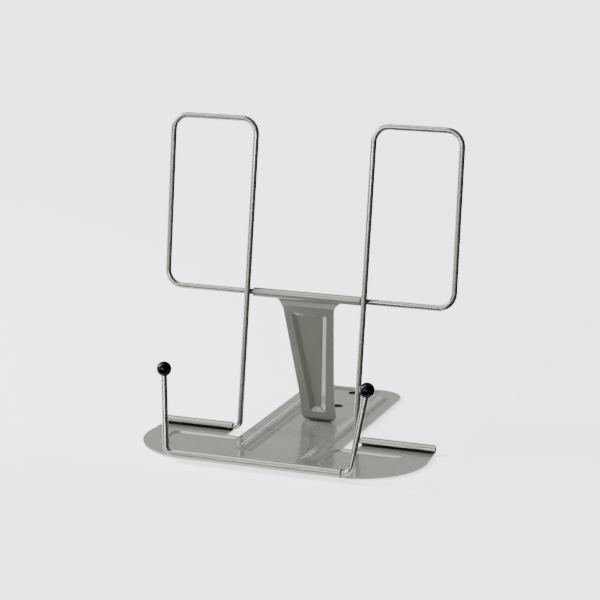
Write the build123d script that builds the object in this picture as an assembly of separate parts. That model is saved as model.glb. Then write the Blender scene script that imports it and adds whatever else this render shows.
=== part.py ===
from build123d import *
import os
from math import atan2, cos, degrees, hypot, radians, sin, sqrt

# Book display stand: a pressed steel base, a bent wire back frame that hinges in two rolled
# knuckles, a pressed leg that hangs from the frame's crossbar, and a wire page holder with two balls.
# Millimetres. The origin is on the table, under the middle of the frame's hinge line.
# +X is the stand's right, +Y its rear, +Z up.

# ---- driving dimensions ----
wire_d = 3.8              # frame and page holder wire
sheet = 1.0               # thickness of the base and of the leg
running_gap = 0.05        # radial clearance of a wire in a rolled knuckle
body_gap = 0.5            # clearance between bodies that do not bear on each other
frame_half_width = 97.0   # to the centre of the outer uprights
upright_x = 39.5          # to the centre of the inner uprights
frame_height = 198.5      # hinge line to the top bars, along the frame
crossbar_height = 88.0    # hinge line to the crossbar, along the frame
frame_lean = 9.5          # degrees behind vertical at rest
loop_radius = 10.0        # bend of the frame's loops, on the wire's centre
base_half_width = 94.0
front_edge_y = -64.5
lip_reach = 5.0           # the front edge's lip runs this far forward to its knuckle
wing_radius = 43.5        # rounds the front corners of the base
tongue_half_width = 35.0
tongue_rear_y = 120.0
tongue_radius = 17.0
press_depth = 1.0         # how far the panels are pressed down from the rim
hole_d = 7.0
hole_pitch = 33.0
first_hole_y = 43.5
holder_half_width = 60.2  # between the centre plane and the arm, at the bar
arm_length = 51.6         # bar to the centre of a ball
arm_splay = 7.0           # degrees outwards
arm_lean = 14.6           # degrees behind vertical at rest
ball_d = 9.5
foot_y = 41.0             # where the leg stands on the base at rest

# ---- derived values ----
wire_r = wire_d / 2
bore_r = wire_r + running_gap
roll_r = bore_r + sheet                      # outer radius of a rolled knuckle
rim_z = press_depth                          # underside of the unpressed sheet
rim_top = rim_z + sheet
floor_top = sheet                            # top of a pressed-down panel
hinge_z = rim_z + roll_r                     # the frame turns about this height
front_rise = 1.9                             # the lip climbs this much to the front knuckle
holder_y = front_edge_y - lip_reach
holder_z = hinge_z + front_rise
rear_curl_end = 182.0                        # degrees at which a rear knuckle's free edge stops
front_curl_end = 205.0                       # and the front knuckle's, counted the other way
rear_knuckle_in = upright_x + 4.5
rear_knuckle_out = base_half_width - 1.7
front_knuckle_half = holder_half_width - 5.2
lip_root = 1.0                               # the lip starts this far behind the front edge
notch_front_y = -12.0
rib_outer = 28.0                             # outer edge of the ribs beside the channel


def rounded_face(points, radius):
    """A polygon through the points with every corner rounded."""
    face = make_face(Polyline(*points, close=True))
    return fillet(face.vertices(), radius)


def mirrored(shape):
    return [shape, mirror(shape, Plane.YZ)]


def frustum(low_points, low_z, high_points, high_z, radius):
    """A straight-sided solid between two rounded polygons at two heights."""
    low = Pos(0, 0, low_z) * rounded_face(low_points, radius)
    high = Pos(0, 0, high_z) * rounded_face(high_points, radius)
    return loft([low, high], ruled=True)


# ---- base plate ----
def base_outline():
    """The flat T shape: front wing with swept corners, notches, and the rear tongue."""
    side = base_half_width
    arc_x = side - wing_radius
    arc_y = front_edge_y + wing_radius
    diagonal = wing_radius * sqrt(0.5)
    step = tongue_radius * (1 - sqrt(0.5))
    half = [
        Line((0, front_edge_y), (arc_x, front_edge_y)),
        ThreePointArc((arc_x, front_edge_y), (arc_x + diagonal, arc_y - diagonal), (side, arc_y)),
        Line((side, arc_y), (rear_knuckle_out, 0)),
        Line((rear_knuckle_out, 0), (rear_knuckle_in, 0)),
        Line((rear_knuckle_in, 0), (rear_knuckle_in, notch_front_y)),
        Line((rear_knuckle_in, notch_front_y), (tongue_half_width, notch_front_y)),
        Line((tongue_half_width, notch_front_y), (tongue_half_width, tongue_rear_y - tongue_radius)),
        ThreePointArc(
            (tongue_half_width, tongue_rear_y - tongue_radius),
            (tongue_half_width - step, tongue_rear_y - step),
            (tongue_half_width - tongue_radius, tongue_rear_y),
        ),
        Line((tongue_half_width - tongue_radius, tongue_rear_y), (0, tongue_rear_y)),
    ]
    other = [mirror(edge, Plane.YZ) for edge in half]
    return make_face(Wire.combine(Curve(children=half + other).edges())[0])


def knuckle(x_low, x_high, y, z, forward):
    """A sheet rolled round a wire along X. forward: the free edge comes down on the front side."""
    start, end = (-90, rear_curl_end) if forward else (180 - front_curl_end, 270)
    middle = (start + end) / 2

    def at(radius, angle):
        return (y + radius * cos(radians(angle)), z + radius * sin(radians(angle)))

    outer = ThreePointArc(at(roll_r, start), at(roll_r, middle), at(roll_r, end))
    inner = ThreePointArc(at(bore_r, end), at(bore_r, middle), at(bore_r, start))
    ring = make_face([
        outer,
        Line(at(roll_r, end), at(bore_r, end)),
        inner,
        Line(at(bore_r, start), at(roll_r, start)),
    ])
    return Pos(x_low, 0, 0) * extrude(Plane.YZ * ring, x_high - x_low)


def sunk_panel(outer, floor, radius):
    """The metal below and the space above a panel pressed down to the table."""
    metal = frustum(floor, 0, outer, rim_z, radius)
    space = frustum(floor, floor_top, outer, rim_top, radius)
    return metal, space


def wing_panel():
    """The right-hand wing panel, with a curved outer corner that follows the wing."""
    wall = 1.6
    corner_x = base_half_width - wing_radius
    corner_y = front_edge_y + wing_radius

    def outline(inset, height):
        radius = wing_radius - 15.0 - inset
        front = corner_y - radius
        side = corner_x + radius
        rear = notch_front_y - 2.5 - inset
        inner = rib_outer + 3.0 + inset
        diagonal = radius * sqrt(0.5)
        edges = [
            Line((inner, front), (corner_x, front)),
            ThreePointArc((corner_x, front), (corner_x + diagonal, corner_y - diagonal), (side, corner_y)),
            Line((side, corner_y), (side, rear)),
            Line((side, rear), (inner, rear)),
            Line((inner, rear), (inner, front)),
        ]
        face = make_face(edges)
        on_arc = {(round(corner_x, 2), round(front, 2)), (round(side, 2), round(corner_y, 2))}
        square = [v for v in face.vertices() if (round(v.X, 2), round(v.Y, 2)) not in on_arc]
        return Pos(0, 0, height) * fillet(square, 4.0)

    metal = loft([outline(wall, 0), outline(0, rim_z)], ruled=True)
    space = loft([outline(wall, floor_top), outline(0, rim_top)], ruled=True)
    return metal, space


def centre_channel():
    """The long panel down the tongue that the leg's foot runs in."""
    half_top, half_floor = 19.5, 17.0
    front_top, front_floor = -43.0, -40.8
    rear_top, rear_floor = tongue_rear_y - 4.0, tongue_rear_y - 6.0

    def rectangle(half, front, rear):
        return [(-half, front), (half, front), (half, rear), (-half, rear)]

    return sunk_panel(
        rectangle(half_top, front_top, rear_top),
        rectangle(half_floor, front_floor, rear_floor),
        6.0,
    )


def tongue_rib():
    """The right-hand stiffening rib beside the channel: the metal above and the space below."""
    rib_height = 1.2
    inner, front, rear, slope = 20.2, -38.0, 103.0, 2.6
    foot = [(inner, front), (rib_outer, front), (rib_outer, rear), (inner, rear)]
    crest_in, crest_out = inner + slope, rib_outer - slope
    crest_front, crest_rear = front + slope, rear - slope
    crest = [
        (crest_in, crest_front),
        (crest_out, crest_front),
        (crest_out, crest_rear),
        (crest_in, crest_rear),
    ]
    metal = frustum(foot, rim_top, crest, rim_top + rib_height, 0.9)
    space = frustum(foot, rim_z, crest, rim_z + rib_height, 0.9)
    return metal, space


def front_lip():
    """The strip that climbs from the rim to the front knuckle."""
    start_y = front_edge_y + lip_root
    strip = make_face(Polyline(
        (holder_y, rim_z + front_rise),
        (start_y, rim_z),
        (start_y, rim_top),
        (holder_y, rim_top + front_rise),
        close=True,
    ))
    return Pos(-front_knuckle_half, 0, 0) * extrude(Plane.YZ * strip, 2 * front_knuckle_half)


def build_base_plate():
    plate = Pos(0, 0, rim_z) * extrude(base_outline(), sheet)
    relief = 1.2
    plate -= Pos(0, front_edge_y + lip_root, 0) * Box(
        2 * (front_knuckle_half + relief), 10, 10,
        align=(Align.CENTER, Align.MAX, Align.MIN),
    )
    plate += front_lip()
    plate += knuckle(-front_knuckle_half, front_knuckle_half, holder_y, holder_z, False)
    rear = knuckle(rear_knuckle_in, rear_knuckle_out, 0, hinge_z, True)
    metal, space = centre_channel()
    plate = plate + metal - space
    for part in [wing_panel(), tongue_rib()]:
        for metal, space in zip(mirrored(part[0]), mirrored(part[1])):
            plate = plate + metal - space
    for knuckle_half in mirrored(rear):
        plate += knuckle_half
    for index in range(3):
        hole_y = first_hole_y + index * hole_pitch
        plate -= Pos(0, hole_y, 0) * Cylinder(hole_d / 2, 10)
    return plate


# ---- back frame ----
crossbar_behind = wire_d + 0.15              # the crossbar passes behind the inner uprights


def wire_along(points, radii):
    """A round wire through the points, with a bend of the given radius at each inner point."""
    path = FilletPolyline(*points, radius=radii)
    return sweep(Plane(path @ 0, z_dir=path % 0) * Circle(wire_r), path=path)


def build_back_frame():
    """One bent wire, drawn upright with its hinge line on X, then leaned back and lifted."""
    end_x = rear_knuckle_out - 2.5
    top = frame_height
    bar = crossbar_height
    behind = crossbar_behind
    half = frame_half_width
    right_half = [
        (half, behind, bar),
        (half, 0, top),
        (upright_x, 0, top),
        (upright_x, 0, 0),
        (end_x, 0, 0),
    ]
    left_half = [(-x, y, z) for x, y, z in reversed(right_half)]
    hinge_bend = 4.0
    frame = wire_along(left_half + right_half, [hinge_bend] + [loop_radius] * 6 + [hinge_bend])
    for side in (-1, 1):
        frame += Pos(side * upright_x, behind / 2, bar) * Sphere(1.6)
    return Pos(0, 0, hinge_z) * Rot(-frame_lean, 0, 0) * frame


# ---- support leg ----
lean = radians(frame_lean)
crossbar_y = crossbar_height * sin(lean) + crossbar_behind * cos(lean)
crossbar_z = hinge_z + crossbar_height * cos(lean) - crossbar_behind * sin(lean)
foot_z = floor_top + body_gap
leg_length = hypot(foot_y - crossbar_y, crossbar_z - foot_z)
leg_angle = degrees(atan2(foot_y - crossbar_y, crossbar_z - foot_z))


def leg_body():
    """The tapered blade, flat in the XZ plane, hanging below the crossbar at the origin."""
    top_half, low_half, shoulder = 17.2, 11.8, 23.5
    shoulder_z, top_z, taper_end, bottom = -3.2, -10.5, -75.0, -leg_length
    corner = 4.0
    cut = corner * (1 - sqrt(0.5))
    blank_half = 6.0
    half = [
        Line((0, 0), (shoulder, 0)),
        Line((shoulder, 0), (shoulder, shoulder_z)),
        ThreePointArc((shoulder, shoulder_z), (top_half + 2.1, -5.8), (top_half, top_z)),
        Line((top_half, top_z), (low_half, taper_end)),
        Line((low_half, taper_end), (low_half, bottom + corner)),
        ThreePointArc(
            (low_half, bottom + corner),
            (low_half - cut, bottom + cut),
            (low_half - corner, bottom),
        ),
        Line((low_half - corner, bottom), (0, bottom)),
    ]
    other = [mirror(edge, Plane.YZ) for edge in half]
    outline = make_face(Wire.combine(Curve(children=half + other).edges())[0])
    blank = extrude(Plane.XZ * outline, blank_half, both=True)
    return blank & leg_side_profile()


def leg_side_profile():
    """The sheet seen from the side: flat blade, then a step back to the rear of the knuckle."""
    front, back = -sheet / 2, sheet / 2
    step_top, step_low, ease = -1.5, -7.5, 0.2
    side = make_face(Polyline(
        (bore_r, 0),
        (bore_r, step_top),
        (front, step_low),
        (front, -leg_length),
        (back, -leg_length),
        (back, step_low + ease),
        (roll_r, step_top + ease),
        (roll_r, 0),
        close=True,
    ))
    half = upright_x
    return Pos(-half, 0, 0) * extrude(Plane.YZ * side, 2 * half)


def leg_knuckle():
    """The top edge rolled over the crossbar, from the rear over the top to the front."""
    half = upright_x - wire_r - 1.2
    start, end = 0, 262
    middle = (start + end) / 2

    def at(radius, angle):
        return (radius * cos(radians(angle)), radius * sin(radians(angle)))

    ring = make_face([
        ThreePointArc(at(roll_r, start), at(roll_r, middle), at(roll_r, end)),
        Line(at(roll_r, end), at(bore_r, end)),
        ThreePointArc(at(bore_r, end), at(bore_r, middle), at(bore_r, start)),
        Line(at(bore_r, start), at(roll_r, start)),
    ])
    return Pos(-half, 0, 0) * extrude(Plane.YZ * ring, 2 * half)


def leg_recess():
    """The long panel pressed towards the rear: the metal behind and the space in front."""
    depth = 1.5
    wall = 3.0
    top, bottom = -12.5, -(leg_length - 6.5)
    top_half, low_half = 12.0, 5.0
    outer = [(-top_half, top), (top_half, top), (low_half, bottom), (-low_half, bottom)]
    floor_half, floor_low = top_half - wall, low_half - wall
    inner = [
        (-floor_half, top - wall),
        (floor_half, top - wall),
        (floor_low, bottom + wall),
        (-floor_low, bottom + wall),
    ]

    def panel(points, y):
        return Pos(0, y, 0) * (Plane.XZ * rounded_face(points, 1.2))

    metal = loft([panel(outer, sheet / 2), panel(inner, sheet / 2 + depth)], ruled=True)
    space = loft([panel(outer, -sheet / 2), panel(inner, depth - sheet / 2)], ruled=True)
    return metal, space


def leg_foot():
    """The bottom edge turned to the rear, level with the base when the leg stands on it."""
    reach, half = 6.5, 7.0
    flange = Pos(0, 0, -sheet / 2) * Box(
        2 * half, reach, sheet, align=(Align.CENTER, Align.MIN, Align.MIN),
    )
    rear_corners = flange.edges().filter_by(Axis.Z).group_by(Axis.Y)[-1]
    flange = fillet(rear_corners, 3.0)
    return Pos(0, 0, sheet / 2 - leg_length) * Rot(-leg_angle, 0, 0) * flange


def build_support_leg():
    metal, space = leg_recess()
    leg = leg_body() + leg_knuckle() + leg_foot() + metal - space
    return Pos(0, crossbar_y, crossbar_z) * Rot(leg_angle, 0, 0) * leg


# ---- page holder ----
def arm_point(distance, side):
    """A point on the centre line of an arm, with the holder upright and its bar on X."""
    splay = radians(arm_splay)
    return (side * (holder_half_width + distance * sin(splay)), 0, distance * cos(splay))


def place_holder(shape):
    return Pos(0, holder_y, holder_z) * Rot(-arm_lean, 0, 0) * shape


socket_depth = 3.2


def build_page_holder():
    end = arm_length - ball_d / 2 + socket_depth - 0.2
    points = [
        arm_point(end, -1),
        arm_point(0, -1),
        arm_point(0, 1),
        arm_point(end, 1),
    ]
    return place_holder(wire_along(points, [5.0, 5.0]))


def build_ball(side):
    """A ball with a blind socket for the end of its arm."""
    ball = Sphere(ball_d / 2)
    socket = Pos(0, 0, socket_depth - ball_d / 2) * Cylinder(
        wire_r + 0.02, ball_d, align=(Align.CENTER, Align.CENTER, Align.MAX),
    )
    ball = Rot(0, side * arm_splay, 0) * (ball - socket)
    return place_holder(Pos(*arm_point(arm_length, side)) * ball)


# ---- write the parts ----
def main():
    os.makedirs("parts", exist_ok=True)
    parts = {
        "base_plate": build_base_plate(),
        "back_frame": build_back_frame(),
        "support_leg": build_support_leg(),
        "page_holder": build_page_holder(),
        "left_ball": build_ball(-1),
        "right_ball": build_ball(1),
    }
    for name, shape in parts.items():
        export_step(shape, f"parts/{name}.step")


if __name__ == "__main__":
    main()
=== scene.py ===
from math import cos, radians, sin

import bmesh
import bpy
import mathutils
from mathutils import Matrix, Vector


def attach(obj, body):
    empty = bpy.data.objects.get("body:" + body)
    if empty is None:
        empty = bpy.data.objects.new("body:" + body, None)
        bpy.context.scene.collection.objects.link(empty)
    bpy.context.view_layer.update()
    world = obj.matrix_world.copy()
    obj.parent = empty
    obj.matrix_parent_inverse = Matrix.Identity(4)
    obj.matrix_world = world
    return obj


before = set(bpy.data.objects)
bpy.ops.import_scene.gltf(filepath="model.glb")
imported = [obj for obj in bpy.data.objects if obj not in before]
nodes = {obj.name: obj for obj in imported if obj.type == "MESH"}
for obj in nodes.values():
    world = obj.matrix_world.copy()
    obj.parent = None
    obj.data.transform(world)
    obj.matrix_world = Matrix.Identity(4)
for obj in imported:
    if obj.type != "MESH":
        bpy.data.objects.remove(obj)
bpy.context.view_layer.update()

# ---- the view and the room ----
VIEW_AZIMUTH = 20.8          # degrees, from straight in front towards the stand's right
VIEW_ELEVATION = 13.9
VIEW_DISTANCE = 1.33
VIEW_TARGET = Vector((0.0021, 0.0, 0.0922))
LENS_MM = 127.0

# ---- sizes shared with the CAD, metres and degrees ----
HINGE_Z = 0.00395            # height of the back frame's hinge line
FRAME_LEAN = 9.5
UPRIGHT_X = 0.0395           # centre of the inner uprights
WIRE_RADIUS = 0.0019
CROSSBAR_ALONG = 0.088       # hinge line to the crossbar, along the frame
HOLES_Y = (0.0435, 0.0765, 0.1095)
HOLE_RADIUS = 0.0035

# ---- colours and tones ----
PAPER = (0.90, 0.90, 0.895)
FLOOR_GLOW = 2.1
WALL_SHADE = 0.20            # the far wall's tone, as a share of the floor's
SHEET_PAINT = (0.170, 0.172, 0.150)
WIRE_PAINT = (0.185, 0.185, 0.168)
KNOB_BLACK = (0.0012, 0.0012, 0.0014)
WELD_DARK = (0.055, 0.050, 0.044)
# painted shade for the walls of the base's holes
HOLE_WALL_PAINTED_SHADE = (0.010, 0.010, 0.009)
FLAG_BLACK = (0.004, 0.004, 0.004)

# ---- a painted shadow on the floor under the tongue, which shows only through the base's holes ----
UNDER_PAINTED_SHADOW = (0.004, 0.004, 0.004)
PAINTED_SHADOW_HALF_X = 0.014
PAINTED_SHADOW_Y = 0.076
PAINTED_SHADOW_HALF_Y = 0.040
PAINTED_SHADOW_FADE = 0.002

# ---- relief of the painted and moulded surfaces ----
EDGE_ROUNDING = 0.00025      # how far the render rounds a sharp edge
PAINT_RELIEF = 0.000005
PLASTIC_RELIEF = 0.00001
WELD_RELIEF = 0.00008


# ---- small node helpers ----
def new_material(name):
    """An empty node material, its shader and its tree."""
    material = bpy.data.materials.new(name)
    material.use_nodes = True
    tree = material.node_tree
    tree.nodes.clear()
    output = tree.nodes.new("ShaderNodeOutputMaterial")
    shader = tree.nodes.new("ShaderNodeBsdfPrincipled")
    tree.links.new(shader.outputs["BSDF"], output.inputs["Surface"])
    return material, tree, shader


def object_coordinates(tree):
    return tree.nodes.new("ShaderNodeTexCoord").outputs["Object"]


def noise(tree, place, scale, detail):
    """Noise from 0 to 1, its scale in cycles per metre."""
    node = tree.nodes.new("ShaderNodeTexNoise")
    node.inputs["Scale"].default_value = scale
    node.inputs["Detail"].default_value = detail
    tree.links.new(place, node.inputs["Vector"])
    return node.outputs["Fac"]


def remap(tree, value, low, high, to_low, to_high):
    """Carries low..high to to_low..to_high, clamped at both ends."""
    node = tree.nodes.new("ShaderNodeMapRange")
    node.inputs["From Min"].default_value = low
    node.inputs["From Max"].default_value = high
    node.inputs["To Min"].default_value = to_low
    node.inputs["To Max"].default_value = to_high
    tree.links.new(value, node.inputs["Value"])
    return node.outputs["Result"]


def combine(tree, operation, first, second):
    """One step of arithmetic on two sockets or numbers."""
    node = tree.nodes.new("ShaderNodeMath")
    node.operation = operation
    for socket, value in zip(node.inputs, (first, second)):
        if isinstance(value, (int, float)):
            socket.default_value = value
        else:
            tree.links.new(value, socket)
    return node.outputs["Value"]


def mix_colour(tree, factor, first, second):
    """first where the factor is 0, second where it is 1."""
    node = tree.nodes.new("ShaderNodeMix")
    node.data_type = "RGBA"
    tree.links.new(factor, node.inputs["Factor"])
    for socket, value in ((node.inputs[6], first), (node.inputs[7], second)):
        if isinstance(value, tuple):
            socket.default_value = (*value, 1.0)
        else:
            tree.links.new(value, socket)
    return node.outputs[2]


def bump(tree, shader, height, distance):
    """Fine relief on top of slightly rounded edges."""
    rounded = tree.nodes.new("ShaderNodeBevel")
    rounded.samples = 6
    rounded.inputs["Radius"].default_value = EDGE_ROUNDING
    node = tree.nodes.new("ShaderNodeBump")
    tree.links.new(rounded.outputs["Normal"], node.inputs["Normal"])
    node.inputs["Distance"].default_value = distance
    node.inputs["Strength"].default_value = 1.0
    tree.links.new(height, node.inputs["Height"])
    tree.links.new(node.outputs["Normal"], shader.inputs["Normal"])


def edge_mask(tree, radius):
    """1 near a sharp edge, 0 on the flat, from how far the rounded normal turns from the true one."""
    flat_cosine, edge_cosine = 0.995, 0.90
    rounded = tree.nodes.new("ShaderNodeBevel")
    rounded.samples = 4
    rounded.inputs["Radius"].default_value = radius
    true_normal = tree.nodes.new("ShaderNodeNewGeometry").outputs["Normal"]
    dot = tree.nodes.new("ShaderNodeVectorMath")
    dot.operation = "DOT_PRODUCT"
    tree.links.new(rounded.outputs["Normal"], dot.inputs[0])
    tree.links.new(true_normal, dot.inputs[1])
    return remap(tree, dot.outputs["Value"], flat_cosine, edge_cosine, 0.0, 1.0)


def crease_painted_shade_mask(tree, reach):
    """Painted shade: 1 deep in a pressed corner or seam, 0 on open surface, looking no further than reach.
    """
    open_share, deep_share = 0.95, 0.62
    open_sky = tree.nodes.new("ShaderNodeAmbientOcclusion")
    open_sky.samples = 8
    open_sky.inputs["Distance"].default_value = reach
    return remap(tree, open_sky.outputs["AO"], open_share, deep_share, 0.0, 1.0)


def scaled(colour, factor):
    return tuple(channel * factor for channel in colour)


# ---- materials ----
def hole_wall_shade_mask(tree, place):
    """Painted shade: 1 on the walls of the three holes along the tongue, where the holes lie in shadow, 0
    elsewhere.
    """
    dark_reach, clear_reach = HOLE_RADIUS + 0.0005, HOLE_RADIUS + 0.0008
    flat = tree.nodes.new("ShaderNodeVectorMath")
    flat.operation = "MULTIPLY"
    flat.inputs[1].default_value = (1.0, 1.0, 0.0)
    tree.links.new(place, flat.inputs[0])
    mask = 0.0
    for hole_y in HOLES_Y:
        away = tree.nodes.new("ShaderNodeVectorMath")
        away.operation = "DISTANCE"
        away.inputs[1].default_value = (0.0, hole_y, 0.0)
        tree.links.new(flat.outputs["Vector"], away.inputs[0])
        ring = remap(tree, away.outputs["Value"], dark_reach, clear_reach, 1.0, 0.0)
        mask = combine(tree, "MAXIMUM", ring, mask)
    return mask


def stoved_paint(name, colour, metallic, roughness, coat, grain, holes=False):
    """Glossy stoved enamel: orange peel of the given grain, fine flake, faint handling marks, paler where
    it is thin at edges, with painted shade in creases. holes paints shade on the walls of the base's holes."""
    material, tree, shader = new_material(name)
    place = object_coordinates(tree)
    cloud = remap(tree, noise(tree, place, 22.0, 4.0), 0.3, 0.7, 0.0, 1.0)
    flake = remap(tree, noise(tree, place, 3600.0, 1.0), 0.35, 0.75, 0.0, 1.0)
    body = mix_colour(tree, cloud, scaled(colour, 0.97), scaled(colour, 1.03))
    flaked = mix_colour(tree, flake, body, scaled(colour, 1.05))
    worn = combine(tree, "MULTIPLY", edge_mask(tree, 0.00045), noise(tree, place, 700.0, 2.0))
    edged = mix_colour(tree, worn, flaked, scaled(colour, 1.45))
    # painted shade in pressed corners and seams
    edged = mix_colour(tree, crease_painted_shade_mask(tree, 0.003), edged, scaled(colour, 0.35))
    if holes:
        # painted shade on the walls of the base's holes
        edged = mix_colour(tree, hole_wall_shade_mask(tree, place), edged, HOLE_WALL_PAINTED_SHADE)
    tree.links.new(edged, shader.inputs["Base Color"])
    shader.inputs["Metallic"].default_value = metallic
    shader.inputs["IOR"].default_value = 1.35
    marks = remap(tree, noise(tree, place, 95.0, 5.0), 0.50, 0.80, 0.0, 0.03)
    fine = remap(tree, noise(tree, place, 1500.0, 2.0), 0.3, 0.7, -0.01, 0.02)
    matt = combine(tree, "ADD", combine(tree, "ADD", marks, fine), roughness)
    tree.links.new(matt, shader.inputs["Roughness"])
    shader.inputs["Coat Weight"].default_value = coat
    shader.inputs["Coat Roughness"].default_value = 0.06
    shader.inputs["Coat IOR"].default_value = 1.55
    peel = noise(tree, place, grain, 2.0)
    grit = remap(tree, noise(tree, place, 2600.0, 1.0), 0.0, 1.0, 0.0, 0.06)
    bump(tree, shader, combine(tree, "ADD", peel, grit), PAINT_RELIEF)
    return material


def black_plastic():
    """Polished black plastic with a faint swirl of haze and dust."""
    material, tree, shader = new_material("knob_black_gloss")
    place = object_coordinates(tree)
    haze = remap(tree, noise(tree, place, 420.0, 4.0), 0.4, 0.8, 0.0, 1.0)
    colour = mix_colour(tree, haze, KNOB_BLACK, scaled(KNOB_BLACK, 2.4))
    tree.links.new(colour, shader.inputs["Base Color"])
    rough = remap(tree, noise(tree, place, 900.0, 3.0), 0.3, 0.8, 0.10, 0.20)
    tree.links.new(rough, shader.inputs["Roughness"])
    shader.inputs["IOR"].default_value = 1.22
    bump(tree, shader, noise(tree, place, 1100.0, 2.0), PLASTIC_RELIEF)
    return material


def floor_material():
    """Pale matt paper that glows a little, darker up the far wall, with a painted shadow under the base's
    holes.
    """
    wall_start, wall_full = 0.02, 0.30
    material, tree, shader = new_material("studio_floor")
    place = object_coordinates(tree)
    split = tree.nodes.new("ShaderNodeSeparateXYZ")
    tree.links.new(place, split.inputs["Vector"])
    paper = mix_colour(tree, noise(tree, place, 6.0, 2.0), scaled(PAPER, 0.995), PAPER)
    height = remap(tree, split.outputs["Z"], wall_start, wall_full, 0.0, 1.0)
    tone = mix_colour(tree, height, paper, scaled(PAPER, WALL_SHADE))
    # a painted shadow under the tongue: dark floor that shows only through the base's holes
    across = combine(tree, "ABSOLUTE", split.outputs["X"], 0.0)
    along = combine(tree, "ABSOLUTE", combine(tree, "SUBTRACT", split.outputs["Y"], PAINTED_SHADOW_Y), 0.0)
    near_x = remap(tree, across, PAINTED_SHADOW_HALF_X, PAINTED_SHADOW_HALF_X + PAINTED_SHADOW_FADE, 1.0, 0.0)
    near_y = remap(tree, along, PAINTED_SHADOW_HALF_Y, PAINTED_SHADOW_HALF_Y + PAINTED_SHADOW_FADE, 1.0, 0.0)
    inside = combine(tree, "MULTIPLY", near_x, near_y)
    with_painted_shadow = mix_colour(tree, inside, tone, UNDER_PAINTED_SHADOW)
    tree.links.new(with_painted_shadow, shader.inputs["Base Color"])
    tree.links.new(with_painted_shadow, shader.inputs["Emission Color"])
    shader.inputs["Emission Strength"].default_value = FLOOR_GLOW
    shader.inputs["Roughness"].default_value = 0.85
    return material


def dress(node_name, material):
    """Gives a CAD node its finish in every one of its material slots."""
    piece = nodes[node_name]
    for material_slot in piece.material_slots:
        material_slot.material = material


base_paint = stoved_paint("stoved_grey_base", SHEET_PAINT, 0.40, 0.25, 0.60, 420.0, holes=True)
sheet_paint = stoved_paint("stoved_grey_sheet", SHEET_PAINT, 0.30, 0.30, 0.45, 420.0)
wire_paint = stoved_paint("stoved_grey_wire", WIRE_PAINT, 0.75, 0.22, 0.45, 650.0)
knob_black = black_plastic()

dress("base_plate", base_paint)
dress("support_leg", sheet_paint)
dress("back_frame", wire_paint)
dress("page_holder", wire_paint)
dress("left_ball", knob_black)
dress("right_ball", knob_black)


# ---- welds ----
def weld_material():
    """Burnt, slightly glossy weld metal under thin paint."""
    material, tree, shader = new_material("weld_dark")
    place = object_coordinates(tree)
    scale = remap(tree, noise(tree, place, 1600.0, 4.0), 0.35, 0.7, 0.0, 1.0)
    colour = mix_colour(tree, scale, WELD_DARK, scaled(WELD_DARK, 2.2))
    tree.links.new(colour, shader.inputs["Base Color"])
    rough = remap(tree, noise(tree, place, 2400.0, 3.0), 0.3, 0.7, 0.30, 0.60)
    tree.links.new(rough, shader.inputs["Roughness"])
    shader.inputs["Metallic"].default_value = 0.5
    bump(tree, shader, noise(tree, place, 1800.0, 3.0), WELD_RELIEF)
    return material


def weld_bead(name, centre, half_size, seed):
    """A lumpy bead: a fine ball stretched and pushed about by noise. seed tells the beads apart."""
    swelling, lump_size = 0.22, 1.8
    mesh = bpy.data.meshes.new(name)
    lump = bmesh.new()
    bmesh.ops.create_icosphere(lump, subdivisions=4, radius=1.0)
    offset = Vector((seed * 3.7, seed * 1.3, seed * 2.1))
    for vertex in lump.verts:
        swell = 1.0 + swelling * mathutils.noise.noise(vertex.co * lump_size + offset)
        vertex.co = Vector(a * b for a, b in zip(vertex.co * swell, half_size))
    lump.to_mesh(mesh)
    lump.free()
    mesh.polygons.foreach_set("use_smooth", [True] * len(mesh.polygons))
    mesh.materials.append(weld_dark)
    bead = bpy.data.objects.new(name, mesh)
    bead.location = centre
    bpy.context.collection.objects.link(bead)
    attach(bead, "frame")


def weld_beads():
    """One bead each side of each upright, where the crossbar passes behind it."""
    lean = radians(FRAME_LEAN)
    behind = 0.0021              # from the uprights' centres towards the crossbar's
    sunk = 0.0002                # how far a bead's centre lies inside the wire
    half_size = (0.0011, 0.0013, 0.0015)
    y = CROSSBAR_ALONG * sin(lean) + behind * cos(lean)
    z = HINGE_Z + CROSSBAR_ALONG * cos(lean) - behind * sin(lean)
    for number, (side, step) in enumerate(((-1, -1), (-1, 1), (1, -1), (1, 1)), start=1):
        x = side * UPRIGHT_X + step * (WIRE_RADIUS - sunk)
        weld_bead(f"weld_bead_{number}", (x, y, z), half_size, number)


weld_dark = weld_material()
weld_beads()


# ---- studio ----
def studio_floor():
    """A big paper sweep: flat under the stand, rising far behind it."""
    half_width, front, bend_y, radius, height = 40.0, -40.0, 3.2, 1.6, 5.0
    steps = 24
    profile = [(front, 0.0), (bend_y, 0.0)]
    for step in range(1, steps + 1):
        angle = radians(90.0 * step / steps)
        profile.append((bend_y + radius * sin(angle), radius * (1.0 - cos(angle))))
    profile.append((bend_y + radius, height))
    verts = [(side * half_width, y, z) for y, z in profile for side in (-1, 1)]
    faces = [(2 * i, 2 * i + 1, 2 * i + 3, 2 * i + 2) for i in range(len(profile) - 1)]
    mesh = bpy.data.meshes.new("studio_floor")
    mesh.from_pydata(verts, [], faces)
    mesh.polygons.foreach_set("use_smooth", [True] * len(faces))
    floor = bpy.data.objects.new("studio_floor", mesh)
    bpy.context.collection.objects.link(floor)
    mesh.materials.append(floor_material())


def area_light(name, place, target, size, watts):
    """A rectangular softbox that the camera doesn't see."""
    data = bpy.data.lights.new(name, "AREA")
    data.shape = "RECTANGLE"
    data.size, data.size_y = size
    data.energy = watts
    light = bpy.data.objects.new(name, data)
    light.visible_camera = False
    light.location = place
    aim = Vector(target) - Vector(place)
    light.rotation_euler = aim.to_track_quat("-Z", "Y").to_euler()
    bpy.context.collection.objects.link(light)


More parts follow.
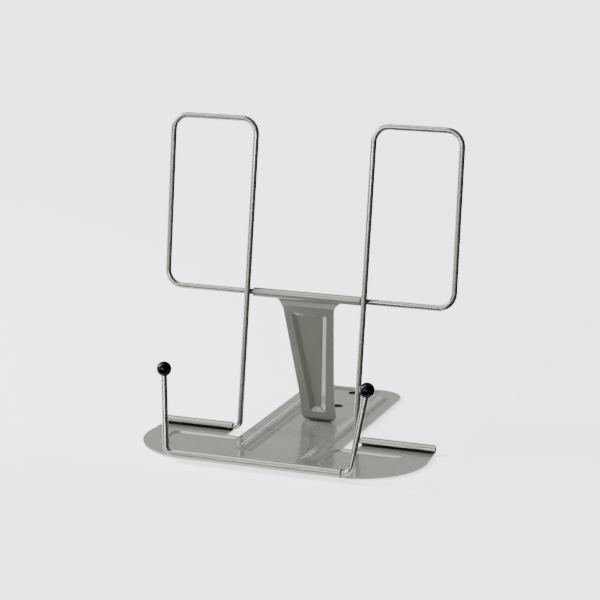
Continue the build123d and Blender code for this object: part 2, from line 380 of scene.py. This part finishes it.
def sun_light(name, direction, strength, spread):
    """A far source: it lights the whole floor evenly. direction points at the sun."""
    data = bpy.data.lights.new(name, "SUN")
    data.energy = strength
    data.angle = radians(spread)
    light = bpy.data.objects.new(name, data)
    light.rotation_euler = (-Vector(direction)).to_track_quat("-Z", "Y").to_euler()
    bpy.context.collection.objects.link(light)


def black_flag(name, corners):
    """A black card that reflections see and the camera doesn't. It casts no shadow."""
    mesh = bpy.data.meshes.new(name)
    mesh.from_pydata(corners, [], [(0, 1, 2, 3)])
    material, tree, shader = new_material(name)
    weave = noise(tree, object_coordinates(tree), 300.0, 2.0)
    tree.links.new(mix_colour(tree, weave, FLAG_BLACK, scaled(FLAG_BLACK, 1.5)),
                   shader.inputs["Base Color"])
    shader.inputs["Roughness"].default_value = 1.0
    shader.inputs["IOR"].default_value = 1.0
    mesh.materials.append(material)
    flag = bpy.data.objects.new(name, mesh)
    flag.visible_camera = False
    flag.visible_shadow = False
    bpy.context.collection.objects.link(flag)


def studio_flags():
    """Two cards on the floor, right and front, and one upright: they keep the wires' right sides and
    the undersides dark."""
    near, far = 0.103, 1.0       # x, from just right of the stand
    front, rear = -0.9, 2.2      # y
    low, top = 0.0006, 1.1       # z
    black_flag("flag_low", [(near, front, low), (far, front, low), (far, rear, low), (near, rear, low)])
    nose, left = -0.082, -0.45   # the front card's rear edge, just ahead of the stand, and its left end
    black_flag("flag_front", [(left, front, low), (near, front, low), (near, nose, low), (left, nose, low)])
    black_flag("flag_side", [(far, front, low), (far, rear, low), (far, rear, top), (far, front, top)])


def studio_lights():
    """A broad key from above left, a bright softbox at the left for the wires, two front fills and a
    wash on the far wall."""
    middle = (0.0, 0.0, 0.08)
    sun_light("high_key", (-0.50, -0.15, 1.0), 2.2, 35.0)
    area_light("left_softbox", (-1.3, -0.30, 0.85), middle, (0.6, 0.8), 52.0)
    area_light("front_strip", (-0.30, -2.2, 0.55), middle, (1.2, 0.16), 26.0)
    area_light("front_softbox", (-0.90, -1.7, 1.3), middle, (0.9, 0.9), 8.0)
    area_light("backdrop_wash", (0.0, 1.6, 2.2), (0.0, 4.2, 1.0), (3.0, 0.8), 90.0)
    world = bpy.data.worlds.new("studio_world")
    world.use_nodes = True
    background = world.node_tree.nodes["Background"]
    background.inputs["Color"].default_value = (0.95, 0.97, 1.0, 1.0)
    background.inputs["Strength"].default_value = 0.16
    bpy.context.scene.world = world


def main_camera():
    """The main view, looking at the middle of the stand from its right and a little above."""
    azimuth, elevation = radians(VIEW_AZIMUTH), radians(VIEW_ELEVATION)
    direction = Vector((
        sin(azimuth) * cos(elevation),
        -cos(azimuth) * cos(elevation),
        sin(elevation),
    ))
    data = bpy.data.cameras.new("main_camera")
    data.sensor_width = 36.0
    data.lens = LENS_MM
    data.clip_start = 0.05
    data.clip_end = 120.0
    camera = bpy.data.objects.new("main_camera", data)
    camera.location = VIEW_TARGET + direction * VIEW_DISTANCE
    camera.rotation_euler = (-direction).to_track_quat("-Z", "Y").to_euler()
    bpy.context.collection.objects.link(camera)
    bpy.context.scene.camera = camera


studio_floor()
studio_flags()
studio_lights()
main_camera()
